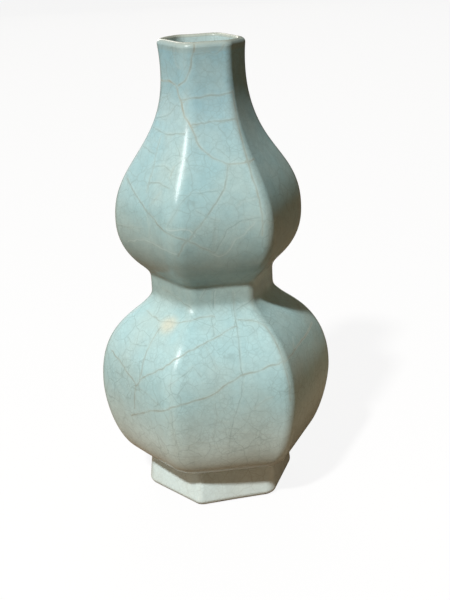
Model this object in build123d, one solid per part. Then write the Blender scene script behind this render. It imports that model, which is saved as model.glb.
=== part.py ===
from build123d import *

import os
from math import asin, cos, pi, sin, tan
from typing import NamedTuple

# A faceted double gourd vase, pressed in clay panels that are luted together with slip.
# Sizes are in millimetres, +Z is up, and the origin is the middle of the foot's underside.
# Facet 1 of each bulb faces -Y, and the facets are numbered anticlockwise seen from above.
# An apothem is the distance from the axis to the middle of a facet.

# Facets round the vase, and the slip that joins two pieces
SIDES = 6
SLIP_THICKNESS = 0.8

# Rises, from the foot up to the mouth
FOOT_HEIGHT = 19.0
BELLY_RISE = 38.8
SHOULDER_RISE = 42.4
LOWER_FLARE_RISE = 6.2
WAIST_BAND_RISE = 5.8
UPPER_FLARE_RISE = 6.0
CHEST_RISE = 25.7
NECK_RISE = 71.9
MOUTH_RISE = 13.4
LIP_HEIGHT = 4.5
FLOOR_THICKNESS = 5.0

# Apothems of the outside
FOOT_BASE_APOTHEM = 34.6
FOOT_TOP_APOTHEM = 33.2
BELLY_APOTHEM = 52.4
SHOULDER_APOTHEM = 30.9
WAIST_APOTHEM = 27.7
CHEST_BASE_APOTHEM = 30.2
CHEST_APOTHEM = 41.5
NECK_APOTHEM = 18.6
MOUTH_APOTHEM = 19.4

# How far the belly's lowest edge stands out over the top of the foot
BELLY_OVERHANG = 3.6

# Walls, thickest at the belly's base and thinnest at the mouth
FOOT_WALL = 7.2
BASE_WALL = 6.0
MOUTH_WALL = 3.6

# Radii of the rounded arrises, of the foot's lower edge and of the lip
FOOT_ARRIS_RADIUS = 4.5
BELLY_BASE_ARRIS_RADIUS = 10.0
BELLY_ARRIS_RADIUS = 7.0
WAIST_ARRIS_RADIUS = 6.0
CHEST_ARRIS_RADIUS = 9.0
NECK_ARRIS_RADIUS = 6.0
FOOT_EDGE_RADIUS = 4.0
LIP_RADIUS = 1.5

# The foot was luted on slightly turned from the bulbs, in degrees
FOOT_TURN = 5.7

# Leans of the outline, as outward run for each unit of rise
BELLY_BASE_LEAN = 4.7
SHOULDER_LEAN = -0.91
CHEST_BASE_LEAN = 0.91
MOUTH_LEAN = 0.1

# Shares of a span's rise over which its lower and its upper end hold their leans
BELLY_HOLDS = (0.067, 0.21)
SHOULDER_HOLDS = (0.71, 0.145)
LOWER_FLARE_HOLDS = (0.3, 0.5)
BAND_HOLDS = (0.33, 0.33)
UPPER_FLARE_HOLDS = (0.5, 0.3)
CHEST_HOLDS = (0.086, 0.645)
NECK_HOLDS = (0.41, 0.54)
MOUTH_HOLDS = (0.4, 0.3)

# Sections in each span of the outline, and the closest that two of them may lie
SPAN_SECTIONS = 8
LEAST_SECTION_GAP = 0.3

# Steps of halving that find a height on the outline, and the most of the lip's wall that its edges take
HALVINGS = 50
LIP_EDGE_SHARE = 0.45

HALF_FACET = pi / SIDES
FACET_STEP = 360 / SIDES
FRONT = -90
HALF_SLIP = SLIP_THICKNESS / 2


class Station(NamedTuple):
    """A height on the outline, with its apothem, its lean and its arris radius."""

    height: float
    apothem: float
    lean: float
    arris: float


class Span(NamedTuple):
    """A stretch of the outline between two stations.

    Each end holds its lean over a share of the span's rise, and the two blend as a cubic curve.
    """

    low: Station
    high: Station
    low_hold: float
    high_hold: float

    def point(self, share):
        """Give the apothem and the height at a share of the way along the span."""
        rise = self.high.height - self.low.height
        heights = (
            self.low.height,
            self.low.height + self.low_hold * rise,
            self.high.height - self.high_hold * rise,
            self.high.height,
        )
        apothems = (
            self.low.apothem,
            self.low.apothem + self.low.lean * self.low_hold * rise,
            self.high.apothem - self.high.lean * self.high_hold * rise,
            self.high.apothem,
        )
        return cubic(apothems, share), cubic(heights, share)


def cubic(controls, share):
    """Blend four control values as a cubic Bezier curve."""
    rest = 1 - share
    weights = (rest**3, 3 * share * rest**2, 3 * share**2 * rest, share**3)
    return sum(weight * value for weight, value in zip(weights, controls))


def stack_heights(start, rises):
    """Add up the rises, one on top of the other, and list the heights that they reach."""
    heights = [start]
    for rise in rises:
        heights.append(heights[-1] + rise)
    return heights


# Heights of the stations, each standing on the one below it
(
    BELLY_BASE,
    BELLY_HEIGHT,
    SHOULDER_HEIGHT,
    BAND_BASE,
    BAND_TOP,
    CHEST_BASE,
    CHEST_HEIGHT,
    NECK_HEIGHT,
    MOUTH_HEIGHT,
) = stack_heights(
    FOOT_HEIGHT + SLIP_THICKNESS,
    (
        BELLY_RISE,
        SHOULDER_RISE,
        LOWER_FLARE_RISE,
        WAIST_BAND_RISE,
        UPPER_FLARE_RISE,
        CHEST_RISE,
        NECK_RISE,
        MOUTH_RISE,
    ),
)
LIP_BASE = MOUTH_HEIGHT - LIP_HEIGHT
BELLY_BASE_APOTHEM = FOOT_TOP_APOTHEM + BELLY_OVERHANG

belly_base = Station(BELLY_BASE, BELLY_BASE_APOTHEM, BELLY_BASE_LEAN, BELLY_BASE_ARRIS_RADIUS)
belly = Station(BELLY_HEIGHT, BELLY_APOTHEM, 0, BELLY_ARRIS_RADIUS)
shoulder = Station(SHOULDER_HEIGHT, SHOULDER_APOTHEM, SHOULDER_LEAN, WAIST_ARRIS_RADIUS)
band_base = Station(BAND_BASE, WAIST_APOTHEM, 0, WAIST_ARRIS_RADIUS)
band_top = Station(BAND_TOP, WAIST_APOTHEM, 0, WAIST_ARRIS_RADIUS)
chest_base = Station(CHEST_BASE, CHEST_BASE_APOTHEM, CHEST_BASE_LEAN, WAIST_ARRIS_RADIUS)
chest = Station(CHEST_HEIGHT, CHEST_APOTHEM, 0, CHEST_ARRIS_RADIUS)
neck = Station(NECK_HEIGHT, NECK_APOTHEM, 0, NECK_ARRIS_RADIUS)
mouth = Station(MOUTH_HEIGHT, MOUTH_APOTHEM, MOUTH_LEAN, NECK_ARRIS_RADIUS)

OUTLINE = (
    Span(belly_base, belly, *BELLY_HOLDS),
    Span(belly, shoulder, *SHOULDER_HOLDS),
    Span(shoulder, band_base, *LOWER_FLARE_HOLDS),
    Span(band_base, band_top, *BAND_HOLDS),
    Span(band_top, chest_base, *UPPER_FLARE_HOLDS),
    Span(chest_base, chest, *CHEST_HOLDS),
    Span(chest, neck, *NECK_HOLDS),
    Span(neck, mouth, *MOUTH_HOLDS),
)


def span_at(height):
    """Find the span of the outline that a height lies in."""
    for span in OUTLINE:
        if height <= span.high.height:
            return span
    return OUTLINE[-1]


def outer_apothem(height):
    """Solve the outline's curve for its apothem at a height, by halving."""
    span = span_at(height)
    low, high = 0.0, 1.0
    for _ in range(HALVINGS):
        middle = (low + high) / 2
        if span.point(middle)[1] < height:
            low = middle
        else:
            high = middle
    return span.point(high)[0]


def height_share(height, low, high):
    """Give how far a height lies from one height to another, from 0 to 1."""
    return (height - low) / (high - low)


def arris_radius(height):
    """Blend the arris radius evenly between the stations of a span."""
    span = span_at(height)
    share = height_share(height, span.low.height, span.high.height)
    return span.low.arris + share * (span.high.arris - span.low.arris)


def inner_apothem(height):
    """Set the inside back from the outside by a wall that thins evenly towards the mouth."""
    share = height_share(height, BELLY_BASE, MOUTH_HEIGHT)
    return outer_apothem(height) - BASE_WALL - share * (MOUTH_WALL - BASE_WALL)


def section_heights(bottom, top):
    """List the heights of the sections of a piece, closer together where the outline turns."""
    shares = [step / SPAN_SECTIONS for step in range(SPAN_SECTIONS)]
    heights = [span.point(share)[1] for span in OUTLINE for share in shares]
    low = bottom + LEAST_SECTION_GAP
    high = top - LEAST_SECTION_GAP
    return [bottom, *[height for height in heights if low < height < high], top]


def loft_between(bottom, top, section):
    """Loft a piece through its sections, each a flat face made for a height."""
    return loft([Pos(0, 0, height) * section(height) for height in section_heights(bottom, top)])


def hexagon(apothem, arris=0.0):
    """Draw a level facetted section with a facet facing the front and rounded arrises."""
    polygon = RegularPolygon(apothem, SIDES, major_radius=False, rotation=FRONT + FACET_STEP / 2)
    if arris > 0:
        return fillet(polygon.vertices(), arris)
    return polygon


def ring_between(bottom, top):
    """Make one whole tier of the wall as a hollow ring between two heights."""
    outside = loft_between(bottom, top, lambda height: hexagon(outer_apothem(height), arris_radius(height)))
    inside = loft_between(bottom, top, lambda height: hexagon(inner_apothem(height)))
    return outside - inside


def mitre_point(height):
    """Find where a panel's rounded arris and its inner face end, beside the slip on the mitre.

    The facet faces +X here, and the mitre lies half a facet anticlockwise of it.
    """
    radius = arris_radius(height)
    setback = outer_apothem(height) - radius
    turn = HALF_FACET - asin(HALF_SLIP / radius)
    outer = Vector(setback + radius * cos(turn), setback * tan(HALF_FACET) + radius * sin(turn))
    depth = inner_apothem(height)
    inner = Vector(depth, depth * tan(HALF_FACET) - HALF_SLIP / cos(HALF_FACET))
    return outer, inner


def mirror_y(point):
    """Reflect a point across the facet's middle line."""
    return Vector(point.X, -point.Y)


def panel_section(height):
    """Draw a panel's section: a flat facet, half of each arris, two mitres and the inner face."""
    apothem = outer_apothem(height)
    radius = arris_radius(height)
    half_width = (apothem - radius) * tan(HALF_FACET)
    half_turn = (HALF_FACET - asin(HALF_SLIP / radius)) / 2
    bulge = Vector(
        apothem - radius + radius * cos(half_turn),
        half_width + radius * sin(half_turn),
    )
    outer, inner = mitre_point(height)
    corner = Vector(apothem, half_width)
    return make_face([
        Line(mirror_y(corner), corner),
        ThreePointArc(corner, bulge, outer),
        Line(outer, inner),
        Line(inner, mirror_y(inner)),
        Line(mirror_y(inner), mirror_y(outer)),
        ThreePointArc(mirror_y(outer), mirror_y(bulge), mirror_y(corner)),
    ])


def seam_section(height):
    """Draw the slip between two panels, with its middle plane along +X."""
    outer, inner = mitre_point(height)
    reach = outer.X * cos(HALF_FACET) + outer.Y * sin(HALF_FACET)
    depth = inner.X * cos(HALF_FACET) + inner.Y * sin(HALF_FACET)
    return Polygon(
        (depth, -HALF_SLIP),
        (reach, -HALF_SLIP),
        (reach, HALF_SLIP),
        (depth, HALF_SLIP),
        align=None,
    )


def bulb_pieces(name, bottom, top):
    """Make one bulb's panels and the slip seams between them, by name."""
    panel = loft_between(bottom, top, panel_section)
    seam = loft_between(bottom, top, seam_section)
    pieces = {}
    for facet in range(SIDES):
        pieces[f"{name}_panel_{facet + 1}"] = Rot(0, 0, FRONT + facet * FACET_STEP) * panel
    seams = [Rot(0, 0, FRONT + (facet + 0.5) * FACET_STEP) * seam for facet in range(SIDES)]
    pieces[f"{name}_panel_seams"] = Compound(children=seams)
    return pieces


def foot_outline(height):
    """Draw the foot's outer section, which narrows evenly from the ground up."""
    share = height_share(height, 0, FOOT_HEIGHT)
    apothem = FOOT_BASE_APOTHEM + share * (FOOT_TOP_APOTHEM - FOOT_BASE_APOTHEM)
    return Pos(0, 0, height) * hexagon(apothem, FOOT_ARRIS_RADIUS)


def foot_ring():
    """Make the hollow foot with its rounded lower edge, turned as it was luted on."""
    outside = loft([foot_outline(0), foot_outline(FOOT_HEIGHT)], ruled=True)
    lower_edge = outside.edges().group_by(Axis.Z)[0]
    outside = fillet(lower_edge, FOOT_EDGE_RADIUS)
    well = extrude(hexagon(FOOT_TOP_APOTHEM - FOOT_WALL), FOOT_HEIGHT)
    return Rot(0, 0, FOOT_TURN) * (outside - well)


def foot_slip():
    """Make the slip between the foot and the belly."""
    face = hexagon(FOOT_TOP_APOTHEM, FOOT_ARRIS_RADIUS) - hexagon(FOOT_TOP_APOTHEM - FOOT_WALL)
    return Pos(0, 0, FOOT_HEIGHT) * Rot(0, 0, FOOT_TURN) * extrude(face, SLIP_THICKNESS)


def floor_slab():
    """Make the floor that is bedded between the belly's panels, over the foot."""
    return loft_between(
        BELLY_BASE,
        BELLY_BASE + FLOOR_THICKNESS,
        lambda height: hexagon(inner_apothem(height)),
    )


def mouth_lip():
    """Make the lip, rounded at its outer edge and bevelled at its inner edge."""
    ends = (LIP_BASE, MOUTH_HEIGHT)
    outside = loft(
        [Pos(0, 0, end) * hexagon(outer_apothem(end), arris_radius(end)) for end in ends],
        ruled=True,
    )
    edge_radius = min(LIP_RADIUS, LIP_EDGE_SHARE * MOUTH_WALL)
    outside = fillet(outside.edges().group_by(Axis.Z)[-1], edge_radius)
    bevel_base = MOUTH_HEIGHT - edge_radius
    inside = loft(
        [
            Pos(0, 0, LIP_BASE) * hexagon(inner_apothem(LIP_BASE)),
            Pos(0, 0, bevel_base) * hexagon(inner_apothem(bevel_base)),
            Pos(0, 0, MOUTH_HEIGHT) * hexagon(inner_apothem(bevel_base) + edge_radius),
        ],
        ruled=True,
    )
    return outside - inside


parts = {
    "foot_ring": foot_ring(),
    "foot_slip": foot_slip(),
    "floor_slab": floor_slab(),
    **bulb_pieces("lower", BELLY_BASE, SHOULDER_HEIGHT),
    "waist_lower_slip": ring_between(SHOULDER_HEIGHT, SHOULDER_HEIGHT + SLIP_THICKNESS),
    "waist_collar": ring_between(SHOULDER_HEIGHT + SLIP_THICKNESS, CHEST_BASE - SLIP_THICKNESS),
    "waist_upper_slip": ring_between(CHEST_BASE - SLIP_THICKNESS, CHEST_BASE),
    **bulb_pieces("upper", CHEST_BASE, LIP_BASE - SLIP_THICKNESS),
    "lip_slip": ring_between(LIP_BASE - SLIP_THICKNESS, LIP_BASE),
    "mouth_lip": mouth_lip(),
}

os.makedirs("parts", exist_ok=True)
for name, shape in parts.items():
    export_step(shape, f"parts/{name}.step")
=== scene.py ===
"""Looks of a faceted double gourd vase in pale blue-green crackle glaze.

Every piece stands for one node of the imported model. The sizes are in millimetres, as a potter would
give them, and only the finished meshes are in metres. The front facet of each bulb faces -Y.

A place on the outside is given by its girth and its height. Girth counts facets anticlockwise, so
0 to 1 crosses the front facet from its left arris to its right one, and 6 comes round to the front again.
"""

import logging
from dataclasses import dataclass, field, replace
from enum import Enum
from typing import Any

import bpy
import numpy as np
from mathutils import Matrix, Vector


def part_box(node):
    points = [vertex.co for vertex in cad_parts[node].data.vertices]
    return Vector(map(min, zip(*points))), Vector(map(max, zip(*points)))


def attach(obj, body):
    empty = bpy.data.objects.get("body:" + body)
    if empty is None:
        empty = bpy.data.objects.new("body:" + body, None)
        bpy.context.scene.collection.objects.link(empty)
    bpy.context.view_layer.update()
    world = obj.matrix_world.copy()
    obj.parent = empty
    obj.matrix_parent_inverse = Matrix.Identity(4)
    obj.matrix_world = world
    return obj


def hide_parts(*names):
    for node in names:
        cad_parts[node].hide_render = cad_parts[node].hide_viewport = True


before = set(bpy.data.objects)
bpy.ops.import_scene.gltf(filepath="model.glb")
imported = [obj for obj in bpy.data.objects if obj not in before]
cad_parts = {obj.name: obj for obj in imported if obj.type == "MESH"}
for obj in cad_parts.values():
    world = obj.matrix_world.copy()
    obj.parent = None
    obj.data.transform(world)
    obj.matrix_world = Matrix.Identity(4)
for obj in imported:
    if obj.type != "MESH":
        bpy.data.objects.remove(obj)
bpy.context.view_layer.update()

LOG = logging.getLogger("gourd_vase")
BODY = "root"
METRES = 0.001
TINY = 1e-9

SIDES = 6
FACET = np.radians(360 / SIDES)
HALF_FACET = FACET / 2
FRONT_TURN = np.radians(-90)


class Slot(Enum):
    """Material slots of the record, passed along with the pieces but not used."""

    BODY = "crackle_glaze"
    FOOT = "foot_glaze"
    LIP = "lip_glaze"
    JOINT = "fired_slip"


class LampUse(Enum):
    """What a lamp gives the vase: light alone, a mirrored highlight alone, or both."""

    LIGHT = "light"
    HIGHLIGHT = "highlight"
    BOTH = "both"


class Ends(Enum):
    """How a swept wall ends: it closes round the vase, or it has a flat cap at each side."""

    CLOSED = "closed"
    CAPPED = "capped"


def linear(hex_colour: str) -> tuple[float, float, float, float]:
    """Turn an sRGB hex colour into linear light.

    Args:
        hex_colour: Six hex digits after a hash sign.

    Returns:
        Red, green, blue and an alpha of 1.
    """
    levels = np.array([int(hex_colour[start:start + 2], 16) for start in (1, 3, 5)]) / 255
    light = np.where(levels <= 0.04045, levels / 12.92, ((levels + 0.055) / 1.055) ** 2.4)
    return (*light.tolist(), 1.0)


def smooth_step(values: np.ndarray, low: float, high: float) -> np.ndarray:
    """Ease from 0 at the low value to 1 at the high one, with level ends."""
    share = np.clip((values - low) / (high - low), 0, 1)
    return share * share * (3 - 2 * share)


@dataclass(frozen=True)
class Curve:
    """A stretch of a wall's outline, as arrays along it.

    Each point has the apothem and the arris radius of the level section there, its height, and the
    rates at which the three change along the curve. A wall's outline goes up the outside, in over
    the top, down the inside and out below, so its faces point outwards.
    """

    apothem: np.ndarray
    arris: np.ndarray
    height: np.ndarray
    apothem_rate: np.ndarray
    arris_rate: np.ndarray
    height_rate: np.ndarray

    @classmethod
    def through(cls, apothem: np.ndarray, arris: np.ndarray, height: np.ndarray) -> "Curve":
        """Make a curve from its points, with rates from the steps between them."""
        rates = [np.gradient(values) for values in (apothem, arris, height)]
        return cls(apothem, arris, height, *rates)

    @classmethod
    def straight(cls, start: "Curve", end: "Curve", count: int = 2) -> "Curve":
        """Join the last point of one curve to the first point of another with a straight line.

        Args:
            start: Curve that the line leaves.
            end: Curve that the line reaches.
            count: Number of points on the line.

        Returns:
            The straight curve.
        """
        share = np.linspace(0, 1, count)
        ends = ((start.apothem, end.apothem), (start.arris, end.arris), (start.height, end.height))
        return cls.through(*[first[-1] + share * (last[0] - first[-1]) for first, last in ends])

    def turned(self) -> "Curve":
        """Give the same curve, run the other way."""
        return Curve(
            self.apothem[::-1],
            self.arris[::-1],
            self.height[::-1],
            -self.apothem_rate[::-1],
            -self.arris_rate[::-1],
            -self.height_rate[::-1],
        )


@dataclass(frozen=True)
class Station:
    """A height on the outline, with its apothem, its lean and its arris radius."""

    height: float
    apothem: float
    lean: float
    arris: float


@dataclass(frozen=True)
class Outline:
    """The outside of the vase from the belly's base to the mouth, and the wall inside it.

    Between two stations the outline is a cubic curve that holds each end's lean over a share of the
    rise. The apothem is the distance from the axis to the middle of a facet.
    """

    stations: tuple[Station, ...] = (
        Station(19.8, 36.8, 4.7, 10.0),
        Station(58.6, 52.4, 0.0, 9.0),
        Station(101.0, 30.9, -0.91, 6.0),
        Station(107.2, 27.7, 0.0, 6.0),
        Station(113.0, 27.7, 0.0, 6.0),
        Station(119.0, 30.2, 0.91, 6.0),
        Station(144.7, 41.5, 0.0, 9.0),
        Station(216.6, 18.6, 0.0, 6.0),
        Station(230.0, 19.4, 0.1, 6.0),
    )
    holds: tuple[tuple[float, float], ...] = (
        (0.067, 0.21),
        (0.71, 0.145),
        (0.3, 0.5),
        (0.33, 0.33),
        (0.5, 0.3),
        (0.086, 0.645),
        (0.41, 0.54),
        (0.4, 0.3),
    )
    base_wall: float = 6.0
    mouth_wall: float = 3.6
    inner_arris: float = 7.0
    span_points: int = 400

    def dense(self) -> np.ndarray:
        """Work out the whole outline on a dense run of points.

        The control values of a span are its two ends and the points that its ends' leans reach over
        their holds, and the cubic Bezier sum blends them.

        Returns:
            Rows of apothem, arris radius and height, with height rising all the way.
        """
        share = np.linspace(0, 1, self.span_points, endpoint=False)
        rest = 1 - share
        weights = np.stack([rest**3, 3 * share * rest**2, 3 * share**2 * rest, share**3])
        rows = []
        for low, high, (low_hold, high_hold) in zip(self.stations, self.stations[1:], self.holds):
            rise = high.height - low.height
            low_reach = low_hold * rise
            high_reach = high_hold * rise
            height = np.array([low.height, low.height + low_reach, high.height - high_reach, high.height])
            apothem = np.array([
                low.apothem,
                low.apothem + low.lean * low_reach,
                high.apothem - high.lean * high_reach,
                high.apothem,
            ])
            heights = height @ weights
            arris = low.arris + (heights - low.height) / rise * (high.arris - low.arris)
            rows.append(np.stack([apothem @ weights, arris, heights]))
        top = self.stations[-1]
        rows.append(np.array([[top.apothem], [top.arris], [top.height]]))
        return np.concatenate(rows, axis=1)

    def outer(self, bottom: float, top: float, spacing: float) -> Curve:
        """Sample the outside between two heights, evenly along its length.

        Args:
            bottom: Lower height.
            top: Upper height.
            spacing: Wanted distance between points.

        Returns:
            The curve, run upwards.
        """
        dense = self.dense()
        steps = np.hypot(np.diff(dense[0]), np.diff(dense[2]))
        length = np.concatenate([[0.0], np.cumsum(steps)])
        start, end = np.interp([bottom, top], dense[2], length)
        count = max(3, int(round((end - start) / spacing)) + 1)
        along = np.linspace(start, end, count)
        values = [np.interp(along, length, row) for row in dense]
        rates = [np.interp(along, length, np.gradient(row, length)) for row in dense]
        return Curve(*values, *rates)

    def inner(self, outside: Curve) -> Curve:
        """Set the inside back from an outside curve by a wall that thins towards the mouth.

        Args:
            outside: Curve of the outside.

        Returns:
            The inside curve, run upwards, with softly filled corners.
        """
        base = self.stations[0].height
        rise = self.stations[-1].height - base
        thinning = (self.mouth_wall - self.base_wall) / rise
        wall = self.base_wall + (outside.height - base) * thinning
        return Curve(
            outside.apothem - wall,
            np.full_like(wall, self.inner_arris),
            outside.height,
            outside.apothem_rate - thinning * outside.height_rate,
            np.zeros_like(wall),
            outside.height_rate,
        )


@dataclass(frozen=True)
class Columns:
    """Upright lines on the wall, where a mesh has its columns of points.

    Each has its facet, its share across the panel from -1 to 1, and its share across half of the
    slip beside the panel, signed like the share across.
    """

    facet: np.ndarray
    across: np.ndarray
    into_slip: np.ndarray

    @classmethod
    def panel(cls, facet: int, count: int) -> "Columns":
        """Lay even columns from one side of a panel to the other."""
        across = np.linspace(-1, 1, count)
        return cls(np.full(count, facet), across, np.zeros(count))

    @classmethod
    def seam(cls, facet: int) -> "Columns":
        """Lay the columns of the slip between a facet's panel and the next one.

        Args:
            facet: Facet before the slip.

        Returns:
            Five columns, with the mitre in the middle.
        """
        facets = np.array([facet, facet, facet, facet + 1, facet + 1])
        across = np.array([1.0, 1.0, 1.0, -1.0, -1.0])
        into_slip = np.array([0.0, 0.5, 1.0, -0.5, 0.0])
        return cls(facets, across, into_slip)

    @classmethod
    def ring(cls, count: int) -> "Columns":
        """Lay the columns of all panels and seams, once round the vase.

        Args:
            count: Number of columns on each panel.

        Returns:
            The columns in order.
        """
        parts = []
        for facet in range(SIDES):
            parts.append(cls.panel(facet, count))
            parts.append(cls.seam(facet).inside())
        return cls(*[
            np.concatenate([getattr(part, name) for part in parts])
            for name in ("facet", "across", "into_slip")
        ])

    def inside(self) -> "Columns":
        """Leave out the first and the last column."""
        return Columns(self.facet[1:-1], self.across[1:-1], self.into_slip[1:-1])


@dataclass(frozen=True)
class Ripple:
    """Slight unevenness of a hand-pressed wall, as a few long waves through space.

    A point moves away from the axis by the sum of the waves, each a sine of its place along the
    wave's direction. The mouth also rises towards one side, and waves a little round the axis.
    """

    depth: float = 0.11
    lengths: tuple[float, ...] = (71.0, 58.0, 47.0, 39.0, 33.0)
    mouth_rise: float = 1.2
    mouth_wave: float = 0.25
    mouth_lobes: int = 3
    mouth_phase: float = 1.1
    mouth_high_side: float = -140.0
    mouth_from: float = 200.0
    mouth_to: float = 230.0
    least_radius: float = 1.0
    seed: int = 11

    def waves(self) -> tuple[np.ndarray, np.ndarray]:
        """Draw the waves' directions and starts.

        Returns:
            Wave vectors, one a row, and phases.
        """
        draw = np.random.default_rng(self.seed)
        directions = draw.normal(size=(len(self.lengths), 3))
        directions /= np.linalg.norm(directions, axis=1, keepdims=True)
        vectors = directions * (2 * np.pi / np.array(self.lengths))[:, None]
        return vectors, draw.uniform(0, 2 * np.pi, len(self.lengths))

    def move(self, points: np.ndarray) -> np.ndarray:
        """Move points by the waves, and lift those near the mouth.

        Args:
            points: Places in millimetres, on the last axis.

        Returns:
            Moved places.
        """
        vectors, starts = self.waves()
        out = self.depth * np.sin(points @ vectors.T + starts).sum(-1)
        radius = np.hypot(points[..., 0], points[..., 1])
        angle = np.arctan2(points[..., 1], points[..., 0])
        tilt = 0.5 + 0.5 * np.cos(angle - np.radians(self.mouth_high_side))
        wave = np.sin(self.mouth_lobes * angle - self.mouth_phase)
        lift = self.mouth_rise * tilt + self.mouth_wave * wave
        moved = points.copy()
        moved[..., :2] *= (1 + out / np.maximum(radius, self.least_radius))[..., None]
        moved[..., 2] += lift * smooth_step(points[..., 2], self.mouth_from, self.mouth_to)
        return moved

    def turn(self, points: np.ndarray, normals: np.ndarray) -> np.ndarray:
        """Turn normals as the waves tilt the surface.

        Args:
            points: Places before they are moved.
            normals: Unit normals there.

        Returns:
            Unit normals of the moved surface.
        """
        vectors, starts = self.waves()
        slope = self.depth * np.cos(points @ vectors.T + starts) @ vectors
        radius = np.maximum(np.hypot(points[..., 0], points[..., 1]), self.least_radius)
        outward = (points[..., :2] * normals[..., :2]).sum(-1) / radius
        turned = normals - slope * outward[..., None]
        return turned / np.linalg.norm(turned, axis=-1, keepdims=True)


@dataclass(frozen=True)
class Section:
    """The level section of the wall: a hexagon whose arrises are rounded by arcs.

    The arris after each facet has its own softness, which the outline's arris radius is multiplied by.
    """

    flat_share: float = 0.72
    half_slip: float = 0.4
    turn: float = 0.0
    softness: tuple[float, ...] = (0.85, 1.0, 1.0, 1.0, 1.0, 1.5)

    def soften(self, facet: np.ndarray, across: np.ndarray) -> np.ndarray:
        """Look up the softness of the arris on each place's side of its facet."""
        arris = np.where(across >= 0, facet, facet - 1).astype(int) % SIDES
        return np.array(self.softness)[arris]

    def share(self, curve: Curve, columns: Columns) -> np.ndarray:
        """Work out how far across its facet each column lies at each point of a curve.

        A panel ends half a slip's thickness before the mitre, measured along the arris.

        Args:
            curve: Outline that is carried round.
            columns: Upright lines to carry it along.

        Returns:
            Shares from -1 to 1, by column and by point of the curve.
        """
        radius = curve.arris[None, :] * self.soften(columns.facet, columns.across)[:, None]
        edge = 1 - self.half_slip / (radius * HALF_FACET) * (1 - self.flat_share)
        return edge * columns.across[:, None] + (1 - edge) * columns.into_slip[:, None]

    def points(self, curve: Curve, facet: np.ndarray, share: np.ndarray) -> tuple[np.ndarray, np.ndarray]:
        """Find places on the section and the normals there.

        On a flat, a point lies at the apothem, and its distance along the facet is an even share of
        the flat. On an arris it lies on an arc about a point set in from both facets by the arris
        radius. The normal leans with the rate at which the section's edge moves out along the curve.

        Args:
            curve: Sizes of the section, and their rates.
            facet: Facet of each place.
            share: Share across the facet of each place.

        Returns:
            Places and unit normals, in the shape of the shares.
        """
        side = np.sign(share)
        softness = self.soften(facet, share)
        radius = curve.arris * softness
        round_off = np.clip((np.abs(share) - self.flat_share) / (1 - self.flat_share), 0, 1) * HALF_FACET
        setback = curve.apothem - radius
        along_flat = setback * np.tan(HALF_FACET) * np.clip(share / self.flat_share, -1, 1)
        out = setback + radius * np.cos(round_off)
        along = along_flat + side * radius * np.sin(round_off)
        facing = FRONT_TURN + self.turn + facet * FACET
        places = np.stack([
            out * np.cos(facing) - along * np.sin(facing),
            out * np.sin(facing) + along * np.cos(facing),
            np.broadcast_to(curve.height, out.shape),
        ], axis=-1)
        stretch = np.where(round_off > 0, np.cos(HALF_FACET - round_off) / np.cos(HALF_FACET), 1.0)
        edge_rate = curve.apothem_rate * stretch + curve.arris_rate * softness * (1 - stretch)
        heading = facing + side * round_off
        normals = np.stack([
            np.cos(heading) * curve.height_rate,
            np.sin(heading) * curve.height_rate,
            -edge_rate,
        ], axis=-1)
        size = np.linalg.norm(normals, axis=-1, keepdims=True)
        return places, normals / np.maximum(size, TINY)

    def arris_share(self, columns: Columns) -> np.ndarray:
        """Tell how far each column lies round an arris, from 0 on the flat to 1 on the mitre."""
        share = np.abs(columns.across) + np.abs(columns.into_slip) * (np.abs(columns.across) >= 1)
        return np.clip((np.minimum(share, 1) - self.flat_share) / (1 - self.flat_share), 0, 1)


@dataclass(frozen=True)
class CrackRoute:
    """A crack, by the girth and height of the points that it was seen to pass.

    Tone runs from 0, a pale clean crack, through 0.5, a grey one, to 1, a crack stained brown. Ink is
    how strongly it shows.
    """

    tone: float
    ink: float
    points: tuple[tuple[float, float], ...]
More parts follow.
